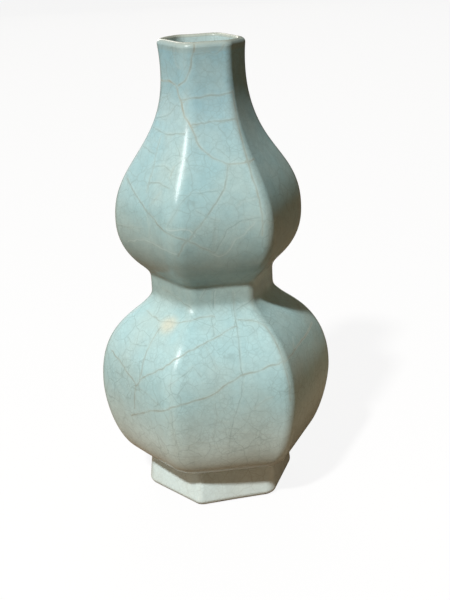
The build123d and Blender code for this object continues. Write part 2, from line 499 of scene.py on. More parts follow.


# Cracks by girth and height, picked in the photograph and carried over through its fitted camera
CRACK_ROUTES = (
    # Main cracks of the upper bulb
    CrackRoute(0.85, 1.0, ((0.16, 230), (0.1, 224), (0.07, 219), (0.0, 214), (-0.13, 211))),
    CrackRoute(1.0, 1.0, (
        (-0.95, 212), (-0.53, 212), (-0.2, 210), (-0.08, 204), (-0.02, 197), (0.07, 193),
    )),
    CrackRoute(0.9, 0.75, ((0.07, 193), (0.2, 185), (0.47, 179), (0.65, 176), (0.94, 176), (1.12, 177))),
    CrackRoute(0.8, 0.8, ((-0.09, 205), (0.3, 206), (1.0, 207))),
    CrackRoute(0.8, 0.8, ((0.08, 193.5), (0.52, 194.5), (1.0, 195))),
    CrackRoute(0.75, 0.75, ((0.65, 175), (0.57, 166), (0.35, 154), (0.12, 142), (0.05, 136))),
    CrackRoute(0.75, 0.85, ((-0.85, 166), (-0.41, 155), (-0.1, 148), (0.18, 143), (0.43, 136))),
    CrackRoute(0.95, 0.7, (
        (1.05, 207), (1.03, 195), (0.985, 185), (0.945, 178), (0.895, 170), (0.88, 160), (0.86, 144),
    )),
    CrackRoute(0.7, 0.7, ((-0.91, 190), (-0.44, 188), (0.0, 190))),
    CrackRoute(0.7, 0.6, ((-0.47, 167), (-0.26, 168), (-0.07, 167))),
    CrackRoute(0.7, 0.6, ((0.11, 225), (0.3, 226), (0.55, 226), (0.66, 225), (0.76, 226), (0.86, 229))),
    CrackRoute(0.5, 0.6, ((0.88, 152), (0.66, 151), (0.56, 148), (0.43, 136))),
    # Finer cracks of the upper bulb
    CrackRoute(0.75, 0.5, ((-0.59, 187), (-0.56, 181), (-0.47, 173), (-0.45, 163))),
    CrackRoute(0.6, 0.5, ((-0.93, 181), (-0.57, 179))),
    CrackRoute(0.6, 0.5, ((-0.51, 174), (-0.24, 175), (-0.05, 174))),
    CrackRoute(0.4, 0.4, ((-0.37, 157), (-0.17, 165))),
    CrackRoute(0.6, 0.5, ((-0.93, 143), (-0.68, 144), (-0.46, 145))),
    CrackRoute(0.2, 0.45, ((-0.75, 136), (-0.48, 140), (-0.27, 140), (0.06, 137))),
    CrackRoute(0.4, 0.4, ((-0.39, 155), (-0.35, 148), (-0.36, 142))),
    CrackRoute(0.5, 0.5, ((-0.05, 150), (0.05, 158), (0.14, 164), (0.23, 165), (0.49, 165))),
    CrackRoute(0.15, 0.5, ((-0.06, 149), (0.18, 149), (0.22, 146))),
    CrackRoute(0.45, 0.5, ((0.25, 157), (0.38, 154), (0.49, 152))),
    CrackRoute(0.5, 0.4, ((0.44, 149), (0.43, 141), (0.4, 136))),
    CrackRoute(0.2, 0.5, ((0.4, 136), (0.48, 134), (0.56, 136), (0.61, 142), (0.69, 144), (0.8, 150))),
    CrackRoute(0.3, 0.25, ((0.66, 158), (0.73, 160), (0.88, 161))),
    CrackRoute(0.5, 0.5, ((-0.96, 194), (-0.57, 196), (-0.22, 202))),
    CrackRoute(0.5, 0.4, ((-0.91, 203), (-0.54, 206))),
    CrackRoute(0.8, 0.5, ((-0.08, 171), (-0.06, 176))),
    CrackRoute(0.5, 0.4, ((-0.26, 229), (-0.28, 222), (-0.09, 219))),
    CrackRoute(0.5, 0.4, ((0.9, 150), (1.07, 148), (1.18, 149))),
    # Main cracks of the waist and the lower bulb
    CrackRoute(0.9, 0.85, (
        (-0.57, 48), (-0.29, 57), (0.06, 65), (0.33, 68), (0.59, 77), (0.88, 81), (1.54, 82), (1.78, 84),
    )),
    CrackRoute(0.85, 0.9, ((-0.47, 66), (-0.38, 73), (0.0, 86), (0.31, 92), (0.64, 97))),
    CrackRoute(0.65, 0.6, ((0.68, 112), (0.68, 106), (0.65, 101), (0.63, 97), (0.59, 87), (0.59, 77))),
    CrackRoute(0.8, 0.6, (
        (0.68, 99), (0.86, 98), (0.99, 95), (0.97, 88), (0.96, 80), (0.97, 71), (0.98, 62),
    )),
    CrackRoute(0.8, 0.8, ((-0.82, 78), (-0.64, 74), (-0.47, 68), (-0.5, 54))),
    CrackRoute(0.8, 0.7, ((-0.37, 95), (-0.39, 90), (-0.4, 82), (-0.41, 72))),
    CrackRoute(0.8, 0.7, ((-0.74, 98), (-0.45, 97), (-0.11, 99), (0.18, 101), (0.39, 101))),
    CrackRoute(0.6, 0.8, ((-0.63, 110), (-0.22, 108), (0.03, 105))),
    # Finer cracks of the waist and the lower bulb
    CrackRoute(0.5, 0.6, ((0.36, 100), (0.38, 97), (0.39, 94))),
    CrackRoute(0.5, 0.5, ((0.32, 90), (0.37, 85), (0.39, 81))),
    CrackRoute(0.5, 0.5, ((-0.02, 75), (0.15, 80), (0.21, 83), (0.27, 78))),
    CrackRoute(0.55, 0.6, ((-0.49, 67), (-0.34, 66), (-0.17, 63))),
    CrackRoute(0.5, 0.5, ((-0.7, 87), (-0.62, 85), (-0.42, 87))),
    CrackRoute(0.5, 0.5, ((0.59, 76), (0.58, 69), (0.55, 63), (0.51, 55), (0.49, 48), (0.47, 39))),
    CrackRoute(0.45, 0.5, ((0.37, 64), (0.39, 58), (0.37, 52), (0.34, 45))),
    CrackRoute(0.4, 0.5, ((0.36, 50), (0.47, 48), (0.62, 46), (0.78, 44))),
    CrackRoute(0.4, 0.4, ((0.39, 55), (0.51, 53))),
    CrackRoute(0.5, 0.4, ((0.01, 62), (0.01, 55), (0.01, 46), (0.04, 39))),
    CrackRoute(0.3, 0.5, ((0.05, 40), (0.24, 44), (0.38, 40), (0.5, 38))),
    CrackRoute(0.4, 0.5, ((0.66, 60), (0.73, 64), (0.78, 65))),
    CrackRoute(0.5, 0.4, ((1.35, 86), (1.27, 82))),
    CrackRoute(0.5, 0.8, ((0.19, 110), (0.29, 115))),
    CrackRoute(0.5, 0.7, ((0.69, 103), (0.85, 105), (1.08, 107))),
    CrackRoute(0.5, 0.8, ((0.4, 113), (0.38, 105))),
)


@dataclass(frozen=True)
class CrackNet:
    """The main cracks, laid on the outside and repeated on the far side of the vase, and an old stain.

    Spacing is between the points of a laid crack, wander how far it strays, smoothing the width of
    its smoothing window in points, and reach how far from a crack the wall still knows of it.
    """

    outline: Outline
    section: Section
    routes: tuple[CrackRoute, ...] = CRACK_ROUTES
    spacing: float = 0.5
    wander: float = 0.45
    facet_width: float = 50.0
    smoothing: int = 11
    reach: float = 1.6
    stain_place: tuple[float, float] = (-0.27, 97.0)
    stain_radius: float = 5.6
    stain_squash: float = 1.3
    block: int = 4000
    seed: int = 5

    def on_surface(self, girth: np.ndarray, height: np.ndarray) -> tuple[np.ndarray, np.ndarray]:
        """Find places and normals on the outside.

        Args:
            girth: Girth of each point, in facets.
            height: Height of each point.

        Returns:
            Places and unit normals.
        """
        dense = self.outline.dense()
        values = [np.interp(height, dense[2], row) for row in dense]
        rates = [np.interp(height, dense[2], np.gradient(row, dense[2])) for row in dense]
        facet = np.floor(girth)
        return self.section.points(Curve(*values, *rates), facet, 2 * (girth - facet) - 1)

    def trace(
        self,
        route: CrackRoute,
        far_side: int,
        draw: np.random.Generator,
    ) -> tuple[np.ndarray, np.ndarray]:
        """Trace a route over the surface as close points.

        Its runs are smoothed by a moving average with a bell-shaped window, and it wanders by random
        numbers that are smoothed in the same way.

        Args:
            route: Crack to trace.
            far_side: Facets to carry it round by.
            draw: Source of the random numbers.

        Returns:
            Places, and unit vectors on the surface to the crack's left side.
        """
        girth, height = np.array(route.points, float).T
        corners, _ = self.on_surface(girth + far_side, height)
        steps = np.linalg.norm(np.diff(corners, axis=0), axis=1)
        length = np.concatenate([[0.0], np.cumsum(steps)])
        along = np.linspace(0, length[-1], int(length[-1] / self.spacing) + 2)
        window = np.hanning(self.smoothing + 2)[1:-1]
        window /= window.sum()
        half = len(window) // 2
        path = []
        for values, scale in ((girth, 1 / self.facet_width), (height, 1.0)):
            line = np.interp(along, length, values)
            walk = np.convolve(draw.normal(size=len(along) + 2 * half), window, "valid")
            line = np.convolve(np.pad(line, half, mode="edge"), window, "valid")
            path.append(line + walk * self.wander * scale)
        place, normal = self.on_surface(path[0] + far_side, path[1])
        side = np.cross(normal, np.gradient(place, axis=0))
        return place, side / np.maximum(np.linalg.norm(side, axis=1, keepdims=True), TINY)

    def lay(self) -> dict[str, np.ndarray]:
        """Lay every route on the front, and again half a turn round.

        Returns:
            Arrays of places, of unit vectors to the crack's left side, of tones and of ink.
        """
        draw = np.random.default_rng(self.seed)
        laid: dict[str, list[np.ndarray]] = {"place": [], "side": [], "tone": [], "ink": []}
        for far_side in (0, SIDES // 2):
            for route in self.routes:
                place, side = self.trace(route, far_side, draw)
                laid["place"].append(place)
                laid["side"].append(side)
                laid["tone"].append(np.full(len(place), route.tone))
                laid["ink"].append(np.full(len(place), route.ink))
        return {name: np.concatenate(values) for name, values in laid.items()}

    def measure(self, points: np.ndarray, laid: dict[str, np.ndarray]) -> dict[str, np.ndarray]:
        """Measure points against the nearest crack and against the stain.

        The signed distance passes through 0 on the crack, so it stays sharp between the points of a
        mesh. Closeness falls from 1 on a crack to 0 at its reach. The stain falls off with the cube
        of the distance from its place.

        Args:
            points: Places on the surface.
            laid: Cracks from lay().

        Returns:
            Signed distance, closeness, tone, ink and stain, one value for each point.
        """
        count = len(points)
        values = {f"crack_{name}": np.zeros(count) for name in ("side", "close", "tone", "ink")}
        above = laid["place"] > points.min(0) - self.reach
        below = laid["place"] < points.max(0) + self.reach
        near = {name: rows[(above & below).all(1)] for name, rows in laid.items()}
        if len(near["place"]):
            span = (near["place"] ** 2).sum(1)
            nearest = np.concatenate([
                np.argmin(span[None, :] - 2 * block @ near["place"].T, axis=1)
                for block in np.array_split(points, max(1, count // self.block))
            ])
            offset = points - near["place"][nearest]
            distance = np.linalg.norm(offset, axis=1)
            values["crack_side"] = (offset * near["side"][nearest]).sum(1)
            values["crack_close"] = np.maximum(self.reach - distance, 0) / self.reach
            values["crack_tone"] = near["tone"][nearest]
            values["crack_ink"] = near["ink"][nearest]
        girth, height = self.stain_place
        spot, _ = self.on_surface(np.array([girth]), np.array([height]))
        distance = np.linalg.norm((points - spot[0]) * (1, 1, self.stain_squash), axis=1)
        values["stain"] = np.exp(-(distance / self.stain_radius) ** 3)
        return values


@dataclass
class MeshParts:
    """Arrays of one mesh that grows by swept walls: points, quads, corner normals and values.

    Arris thin is how thin the glaze runs along an arris, from 0 to 1.
    """

    points: list[np.ndarray] = field(default_factory=list)
    quads: list[np.ndarray] = field(default_factory=list)
    normals: list[np.ndarray] = field(default_factory=list)
    thin: list[np.ndarray] = field(default_factory=list)
    count: int = 0
    arris_thin: float = 0.14

    def sweep(
        self,
        curves: list[Curve],
        thins: list[np.ndarray],
        columns: Columns,
        section: Section,
        ripple: Ripple,
        ends: Ends,
    ) -> None:
        """Carry a closed outline round the section and add it to the mesh.

        The outline is a list of curves, each starting where the last one ended. Quads join points of
        neighbouring columns and neighbouring points of a curve. Each curve keeps its own normals, so
        the outline is smooth along a curve and creased between curves.

        Args:
            curves: Outline of the wall, in order.
            thins: How thin the glaze is along each curve, from 0 to 1.
            columns: Columns to carry it along.
            section: Level section.
            ripple: Unevenness of the wall.
            ends: Whether the wall closes round the vase or has caps.
        """
        total = sum(len(curve.height) - 1 for curve in curves)
        width = len(columns.facet)
        arris = section.arris_share(columns)[:, None]
        places = np.zeros((width, total, 3))
        thin = np.zeros((width, total))
        across = np.arange(width if ends is Ends.CLOSED else width - 1)
        across_next = (across + 1) % width
        first = 0
        outlines = []
        for curve, curve_thin in zip(curves, thins):
            length = len(curve.height)
            rows = (first + np.arange(length)) % total
            share = section.share(curve, columns)
            place, normal = section.points(curve, columns.facet[:, None], share)
            normal = ripple.turn(place, normal)
            places[:, rows[:-1]] = ripple.move(place)[:, :-1]
            thin[:, rows[:-1]] = np.maximum(curve_thin[None, :-1], self.arris_thin * arris**2)
            low, high = np.arange(length - 1), np.arange(1, length)
            corners = [(across, low), (across_next, low), (across_next, high), (across, high)]
            quads = np.stack([
                self.count + column[:, None] * total + rows[row][None, :] for column, row in corners
            ], axis=-1)
            facing = np.stack([normal[column[:, None], row[None, :]] for column, row in corners], axis=-2)
            self.quads.append(quads.reshape(-1, 4))
            self.normals.append(facing.reshape(-1, 4, 3))
            outlines.append(rows)
            first += length - 1
        if ends is Ends.CAPPED:
            self._cap(places, outlines, total, width)
        self.points.append(places.reshape(-1, 3))
        self.thin.append(thin.reshape(-1))
        self.count += width * total

    def _cap(self, places: np.ndarray, outlines: list[np.ndarray], total: int, width: int) -> None:
        """Close the two sides of a wall with quads from its outside to its inside.

        Args:
            places: Points by column and row.
            outlines: Rows of the outer, top, inner and lower curves.
            total: Rows in a column.
            width: Columns in the wall.
        """
        outer = outlines[0]
        inner = outlines[2][::-1]
        for column, order in ((0, (0, 3, 2, 1)), (width - 1, (0, 1, 2, 3))):
            rows = np.stack([outer[:-1], inner[:-1], inner[1:], outer[1:]], axis=-1)[:, order]
            corners = places[column][rows]
            facing = np.cross(corners[:, 1] - corners[:, 0], corners[:, 2] - corners[:, 0])
            facing /= np.maximum(np.linalg.norm(facing, axis=1, keepdims=True), TINY)
            quads = self.count + column * total + rows
            self.quads.append(quads)
            self.normals.append(np.repeat(facing[:, None, :], 4, axis=1))

    def build(self, name: str, values: dict[str, np.ndarray]) -> bpy.types.Object:
        """Make the object, with its corner normals and its values for the glaze.

        Args:
            name: Name of the piece.
            values: Point values by attribute name.

        Returns:
            The object, in the scene, in metres.
        """
        points = np.concatenate(self.points) * METRES
        quads = np.concatenate(self.quads).astype(np.int32)
        normals = np.concatenate(self.normals).reshape(-1, 3)
        mesh = bpy.data.meshes.new(name)
        mesh.vertices.add(len(points))
        mesh.vertices.foreach_set("co", points.astype(np.float32).ravel())
        mesh.loops.add(quads.size)
        mesh.loops.foreach_set("vertex_index", quads.ravel())
        mesh.polygons.add(len(quads))
        mesh.polygons.foreach_set("loop_start", np.arange(0, quads.size, 4, dtype=np.int32))
        mesh.update(calc_edges=True)
        mesh.shade_smooth()
        mesh.normals_split_custom_set(normals.astype(np.float32))
        for label, rows in values.items():
            attribute = mesh.attributes.new(label, "FLOAT", "POINT")
            attribute.data.foreach_set("value", rows.astype(np.float32))
        piece = bpy.data.objects.new(name, mesh)
        bpy.context.scene.collection.objects.link(piece)
        return piece


def add_node(
    tree: bpy.types.NodeTree,
    kind: str,
    inputs: dict[str | int, Any] | None = None,
    **settings: Any,
) -> bpy.types.Node:
    """Add a shader node with its settings, its values and its links.

    Args:
        tree: Node tree of a material or the world.
        kind: Blender's name of the node type.
        inputs: By socket name or number, an output to link from or a value to set.
        settings: Properties of the node itself.

    Returns:
        The new node.
    """
    node = tree.nodes.new(kind)
    for name, value in settings.items():
        setattr(node, name, value)
    for socket, value in (inputs or {}).items():
        if isinstance(value, bpy.types.NodeSocket):
            tree.links.new(value, node.inputs[socket])
        else:
            node.inputs[socket].default_value = value
    return node


@dataclass(frozen=True)
class GlazeLayer:
    """A colour that the glaze turns to on its way up, between two heights."""

    start_mm: float
    end_mm: float
    tint: str


@dataclass(frozen=True)
class HairNet:
    """A net of fine cracks: the size of its cells, the width of its lines and how strongly it shows."""

    cell_mm: float
    line_mm: float
    strength: float


@dataclass(frozen=True)
class CrackleGlaze:
    """Celadon: a thick, milky felspar glaze on stoneware, crazed as it cooled and stained in use.

    To the eye it is a soft blue-green with greyer clouds, buff where it ran thin on arrises and rims,
    with brown main cracks, hair-fine grey ones between them and a satin gloss. It is pale at the
    foot, and turns to the belly's, the waist's, the upper bulb's and the neck's colours in order.
    """

    name: str = "celadon_crackle_glaze"
    base: str = "#C8DBD7"
    layers: tuple[GlazeLayer, ...] = (
        GlazeLayer(30.0, 68.0, "#A0C3C6"),
        GlazeLayer(98.0, 110.0, "#84A0A0"),
        GlazeLayer(127.0, 156.0, "#92B4B7"),
        GlazeLayer(156.0, 220.0, "#85B0BC"),
    )
    cloud: str = "#AEBDB5"
    cloud_mm: float = 34.0
    cloud_share: float = 0.4
    mottle_mm: float = 4.0
    mottle_range: tuple[float, float] = (0.93, 1.05)
    inside: str = "#AEC4C4"
    inside_range_mm: tuple[float, float] = (-5.0, 3.0)
    thin: str = "#ACA58E"
    thin_share: float = 0.75
    stain: str = "#D6C9AA"
    stain_share: float = 0.5
    hair_crack: str = "#7A8C88"
    hair_nets: tuple[HairNet, ...] = (HairNet(9.0, 0.34, 0.36), HairNet(2.6, 0.36, 0.22))
    hair_waver: float = 0.55
    hair_patch_cells: float = 3.0
    pale_crack: str = "#C6D8D4"
    grey_crack: str = "#6A8382"
    stained_crack: str = "#8F8E7C"
    crack_mm: float = 0.85
    fade_mm: float = 6.0
    fade_range: tuple[float, float] = (0.32, 0.82)
    halo_share: float = 0.05
    flank_share: float = 0.15
    flank_at_mm: float = 0.8
    flank_mm: float = 0.6
    bare_clay: str = "#5A3B24"
    bare_to_mm: float = -1.0
    bare_blur_mm: float = 0.25
    ragged_mm: float = 4.0
    ragged_rise_mm: float = 3.2
    roughness: float = 0.25
    crack_roughness: float = 0.25
    bare_roughness: float = 0.6
    ior: float = 1.5
    peel_mm: float = 3.0
    crack_dip: float = 0.2
    relief_mm: float = 0.1
    relief_strength: float = 0.35

    def material(self) -> bpy.types.Material:
        """Build the glaze's nodes.

        Returns:
            The material.
        """
        material = bpy.data.materials.new(self.name)
        material.use_nodes = True
        tree = material.node_tree
        tree.nodes.clear()
        place = add_node(tree, "ShaderNodeTexCoord").outputs["Object"]
        colour = self._clouds(tree, place)
        colour = self._inside(tree, place, colour)
        colour = self._thin_glaze(tree, colour)
        colour = self._hair_cracks(tree, place, colour)
        colour, crack = self._main_cracks(tree, place, colour)
        colour, bare = self._bare_edge(tree, place, colour)
        cracked = add_node(tree, "ShaderNodeMath", {
            0: crack, 1: self.crack_roughness, 2: self.roughness,
        }, operation="MULTIPLY_ADD")
        rough = add_node(tree, "ShaderNodeMath", {
            0: bare, 1: self.bare_roughness, 2: cracked.outputs[0],
        }, operation="MULTIPLY_ADD", use_clamp=True)
        shader = add_node(tree, "ShaderNodeBsdfPrincipled", {
            "Base Color": colour,
            "Roughness": rough.outputs[0],
            "IOR": self.ior,
            "Normal": self._relief(tree, place, crack),
        })
        add_node(tree, "ShaderNodeOutputMaterial", {"Surface": shader.outputs[0]})
        return material

    def _clouds(self, tree: bpy.types.NodeTree, place: bpy.types.NodeSocket) -> bpy.types.NodeSocket:
        """Turn the glaze through its layers, drift it into greyer clouds and mottle it finely.

        Args:
            tree: Material's nodes.
            place: Object coordinates.

        Returns:
            Colour output.
        """
        height = add_node(tree, "ShaderNodeSeparateXYZ", {0: place}).outputs[2]
        poured = linear(self.base)
        for layer in self.layers:
            rise = add_node(tree, "ShaderNodeMapRange", {
                0: height, 1: layer.start_mm * METRES, 2: layer.end_mm * METRES,
            }, interpolation_type="SMOOTHSTEP")
            turned = add_node(tree, "ShaderNodeMix", {
                0: rise.outputs[0], 6: poured, 7: linear(layer.tint),
            }, data_type="RGBA")
            poured = turned.outputs[2]
        drift = add_node(tree, "ShaderNodeTexNoise", {
            "Vector": place, "Scale": 1 / (self.cloud_mm * METRES), "Detail": 3.0, "Roughness": 0.55,
        })
        patch = add_node(tree, "ShaderNodeMapRange", {
            0: drift.outputs["Fac"], 1: 0.35, 2: 0.68,
        }, interpolation_type="SMOOTHSTEP")
        share = add_node(tree, "ShaderNodeMath", {
            0: patch.outputs[0], 1: self.cloud_share,
        }, operation="MULTIPLY")
        clouds = add_node(tree, "ShaderNodeMix", {
            0: share.outputs[0], 6: poured, 7: linear(self.cloud),
        }, data_type="RGBA")
        mottle = add_node(tree, "ShaderNodeTexNoise", {
            "Vector": place, "Scale": 1 / (self.mottle_mm * METRES), "Detail": 4.0, "Roughness": 0.6,
        })
        least, most = self.mottle_range
        level = add_node(tree, "ShaderNodeMapRange", {
            0: mottle.outputs["Fac"], 1: 0.3, 2: 0.7, 3: least, 4: most,
        })
        mottled = add_node(tree, "ShaderNodeVectorMath", {
            0: clouds.outputs[2], 3: level.outputs[0],
        }, operation="SCALE")
        return mottled.outputs[0]

    def _inside(
        self,
        tree: bpy.types.NodeTree,
        place: bpy.types.NodeSocket,
        colour: bpy.types.NodeSocket,
    ) -> bpy.types.NodeSocket:
        """Pale the inside, where the surface faces the vase's axis.

        The product of the normal with the place's level part is the distance from the axis, signed by
        whether the surface faces outwards.

        Args:
            tree: Material's nodes.
            place: Object coordinates.
            colour: Glaze colour so far.

        Returns:
            Colour output.
        """
        facing = add_node(tree, "ShaderNodeTexCoord").outputs["Normal"]
        level = add_node(tree, "ShaderNodeVectorMath", {0: place, 1: (1, 1, 0)}, operation="MULTIPLY")
        outward = add_node(tree, "ShaderNodeVectorMath", {
            0: facing, 1: level.outputs[0],
        }, operation="DOT_PRODUCT")
        within, without = self.inside_range_mm
        share = add_node(tree, "ShaderNodeMapRange", {
            0: outward.outputs["Value"], 1: within * METRES, 2: without * METRES, 3: 1.0, 4: 0.0,
        }, interpolation_type="SMOOTHSTEP")
        mixed = add_node(tree, "ShaderNodeMix", {
            0: share.outputs[0], 6: colour, 7: linear(self.inside),
        }, data_type="RGBA")
        return mixed.outputs[2]

    def _thin_glaze(self, tree: bpy.types.NodeTree, colour: bpy.types.NodeSocket) -> bpy.types.NodeSocket:
        """Let the buff body show where the glaze ran thin, and at the old stain. Near the belly's base
        this tint is also painted shade and painted reflection from below.

        Args:
            tree: Material's nodes.
            colour: Glaze colour so far.

        Returns:
            Colour output.
        """
        looks = (("thin", self.thin, self.thin_share), ("stain", self.stain, self.stain_share))
        for label, tint, most in looks:
            amount = add_node(tree, "ShaderNodeAttribute", attribute_name=label)
            share = add_node(tree, "ShaderNodeMath", {
                0: amount.outputs["Fac"], 1: most,
            }, operation="MULTIPLY")
            mixed = add_node(tree, "ShaderNodeMix", {
                0: share.outputs[0], 6: colour, 7: linear(tint),
            }, data_type="RGBA")
            colour = mixed.outputs[2]
        return colour

    def _hair_cracks(
        self,
        tree: bpy.types.NodeTree,
        place: bpy.types.NodeSocket,
        colour: bpy.types.NodeSocket,
    ) -> bpy.types.NodeSocket:
        """Draw the finer nets of cracks as the edges of wavering cells, fainter in some patches.

        Args:
            tree: Material's nodes.
            place: Object coordinates.
            colour: Glaze colour so far.

        Returns:
            Colour output.
        """
        for net in self.hair_nets:
            cell = net.cell_mm
            waver = add_node(tree, "ShaderNodeTexNoise", {"Vector": place, "Scale": 1 / (cell * METRES)})
            bent = add_node(tree, "ShaderNodeVectorMath", {
                0: waver.outputs["Color"], 1: (cell * METRES * self.hair_waver,) * 3, 2: place,
            }, operation="MULTIPLY_ADD")
            cells = add_node(tree, "ShaderNodeTexVoronoi", {
                "Vector": bent.outputs[0], "Scale": 1 / (cell * METRES),
            }, feature="DISTANCE_TO_EDGE")
            line = add_node(tree, "ShaderNodeMapRange", {
                0: cells.outputs["Distance"], 1: 0.0, 2: net.line_mm / cell, 3: 1.0, 4: 0.0,
            }, interpolation_type="SMOOTHSTEP")
            patch = add_node(tree, "ShaderNodeTexNoise", {
                "Vector": place, "Scale": 1 / (cell * self.hair_patch_cells * METRES),
            })
            seen = add_node(tree, "ShaderNodeMapRange", {
                0: patch.outputs["Fac"], 1: 0.35, 2: 0.65, 3: 0.25, 4: 1.0,
            })
            drawn = add_node(tree, "ShaderNodeMath", {
                0: line.outputs[0], 1: seen.outputs[0],
            }, operation="MULTIPLY")
            share = add_node(tree, "ShaderNodeMath", {
                0: drawn.outputs[0], 1: net.strength,
            }, operation="MULTIPLY")
            mixed = add_node(tree, "ShaderNodeMix", {
                0: share.outputs[0], 6: colour, 7: linear(self.hair_crack),
            }, data_type="RGBA")
            colour = mixed.outputs[2]
        return colour

    def _crack_tint(self, tree: bpy.types.NodeTree, tone: bpy.types.NodeSocket) -> bpy.types.NodeSocket:
        """Turn a crack's tone into its colour, from pale through grey to stained.

        Args:
            tree: Material's nodes.
            tone: Tone that the mesh carries.

        Returns:
            Colour output.
        """
        tint = linear(self.pale_crack)
        for start, end, colour in ((0.0, 0.5, self.grey_crack), (0.5, 1.0, self.stained_crack)):
            share = add_node(tree, "ShaderNodeMapRange", {0: tone, 1: start, 2: end})
            mixed = add_node(tree, "ShaderNodeMix", {
                0: share.outputs[0], 6: tint, 7: linear(colour),
            }, data_type="RGBA")
            tint = mixed.outputs[2]
        return tint

    def _main_cracks(
        self,
        tree: bpy.types.NodeTree,
        place: bpy.types.NodeSocket,
        colour: bpy.types.NodeSocket,
    ) -> tuple[bpy.types.NodeSocket, bpy.types.NodeSocket]:
        """Draw the main cracks from the distances that the mesh carries.

        A crack fades and darkens along its way. A faint stain lies round it, and a pale flank along
        one side, where the lip of the crack catches the light.

        Args:
            tree: Material's nodes.
            place: Object coordinates.
            colour: Glaze colour so far.

        Returns:
            Colour output, and the strength of the crack's line.
        """
        side, close, tone, ink = [
            add_node(tree, "ShaderNodeAttribute", attribute_name=f"crack_{name}").outputs["Fac"]
            for name in ("side", "close", "tone", "ink")
        ]
        away = add_node(tree, "ShaderNodeMath", {0: side}, operation="ABSOLUTE")
        width = add_node(tree, "ShaderNodeMath", {
            0: tone, 1: 0.5 * self.crack_mm, 2: 0.5 * self.crack_mm,
        }, operation="MULTIPLY_ADD")
        line = add_node(tree, "ShaderNodeMapRange", {
            0: away.outputs[0], 1: 0.0, 2: width.outputs[0], 3: 1.0, 4: 0.0,
        }, interpolation_type="SMOOTHSTEP")
        near = add_node(tree, "ShaderNodeMapRange", {0: close, 1: 0.1, 2: 0.45}).outputs[0]
        crack = add_node(tree, "ShaderNodeMath", {0: line.outputs[0], 1: near}, operation="MULTIPLY")
        uneven = add_node(tree, "ShaderNodeTexNoise", {
            "Vector": place, "Scale": 1 / (self.fade_mm * METRES), "Detail": 3.0,
        })
        least, most = self.fade_range
        faded = add_node(tree, "ShaderNodeMapRange", {
            0: uneven.outputs["Fac"], 1: 0.34, 2: 0.66, 3: least, 4: most,
        })
        strong = add_node(tree, "ShaderNodeMath", {0: faded.outputs[0], 1: ink}, operation="MULTIPLY")
        drawn = add_node(tree, "ShaderNodeMath", {
            0: crack.outputs[0], 1: strong.outputs[0],
        }, operation="MULTIPLY")
        halo = add_node(tree, "ShaderNodeMath", {0: close, 1: self.halo_share}, operation="MULTIPLY")
        beside = add_node(tree, "ShaderNodeMath", {0: side, 1: self.flank_at_mm}, operation="SUBTRACT")
        apart = add_node(tree, "ShaderNodeMath", {0: beside.outputs[0]}, operation="ABSOLUTE")
        flank = add_node(tree, "ShaderNodeMapRange", {
            0: apart.outputs[0], 1: 0.0, 2: self.flank_mm, 3: self.flank_share, 4: 0.0,
        }, interpolation_type="SMOOTHSTEP")
        lit = add_node(tree, "ShaderNodeMath", {
            0: flank.outputs[0], 1: strong.outputs[0],
        }, operation="MULTIPLY")
        edged = add_node(tree, "ShaderNodeMath", {0: lit.outputs[0], 1: near}, operation="MULTIPLY")
        looks = (
            (halo, linear(self.stain)),
            (edged, linear(self.pale_crack)),
            (drawn, self._crack_tint(tree, tone)),
        )
        for share, tint in looks:
            mixed = add_node(tree, "ShaderNodeMix", {
                0: share.outputs[0], 6: colour, 7: tint,
            }, data_type="RGBA")
            colour = mixed.outputs[2]
        return colour, crack.outputs[0]

    def _bare_edge(
        self,
        tree: bpy.types.NodeTree,
        place: bpy.types.NodeSocket,
        colour: bpy.types.NodeSocket,
    ) -> tuple[bpy.types.NodeSocket, bpy.types.NodeSocket]:
        """Leave the lowest edge bare, up to a ragged line, burnt brown in the kiln.

        Args:
            tree: Material's nodes.
            place: Object coordinates.
            colour: Glaze colour so far.

        Returns:
            Colour output, and how bare the clay is.
        """
        height = add_node(tree, "ShaderNodeSeparateXYZ", {0: place}).outputs[2]
        ragged = add_node(tree, "ShaderNodeTexNoise", {
            "Vector": place, "Scale": 1 / (self.ragged_mm * METRES), "Detail": 4.0,
        })
        wave = add_node(tree, "ShaderNodeMath", {
            0: ragged.outputs["Fac"], 1: -self.ragged_rise_mm * METRES, 2: height,
        }, operation="MULTIPLY_ADD")
        edge = (self.bare_to_mm - self.ragged_rise_mm / 2) * METRES
        blur = self.bare_blur_mm * METRES
        bare = add_node(tree, "ShaderNodeMapRange", {
            0: wave.outputs[0], 1: edge - blur, 2: edge + blur, 3: 1.0, 4: 0.0,
        }, interpolation_type="SMOOTHSTEP")
        mixed = add_node(tree, "ShaderNodeMix", {
            0: bare.outputs[0], 6: colour, 7: linear(self.bare_clay),
        }, data_type="RGBA")
        return mixed.outputs[2], bare.outputs[0]

    def _relief(
        self,
        tree: bpy.types.NodeTree,
        place: bpy.types.NodeSocket,
        crack: bpy.types.NodeSocket,
    ) -> bpy.types.NodeSocket:
        """Sink the cracks slightly and give the glaze its faint orange peel.

        Args:
            tree: Material's nodes.
            place: Object coordinates.
            crack: Strength of the crack's line.

        Returns:
            Normal output.
        """
        peel = add_node(tree, "ShaderNodeTexNoise", {
            "Vector": place, "Scale": 1 / (self.peel_mm * METRES), "Detail": 2.0,
        })
        height = add_node(tree, "ShaderNodeMath", {
            0: crack, 1: -self.crack_dip, 2: peel.outputs["Fac"],
        }, operation="MULTIPLY_ADD")
        bump = add_node(tree, "ShaderNodeBump", {
            "Strength": self.relief_strength,
            "Distance": self.relief_mm * METRES,
            "Height": height.outputs[0],
        })
        return bump.outputs[0]


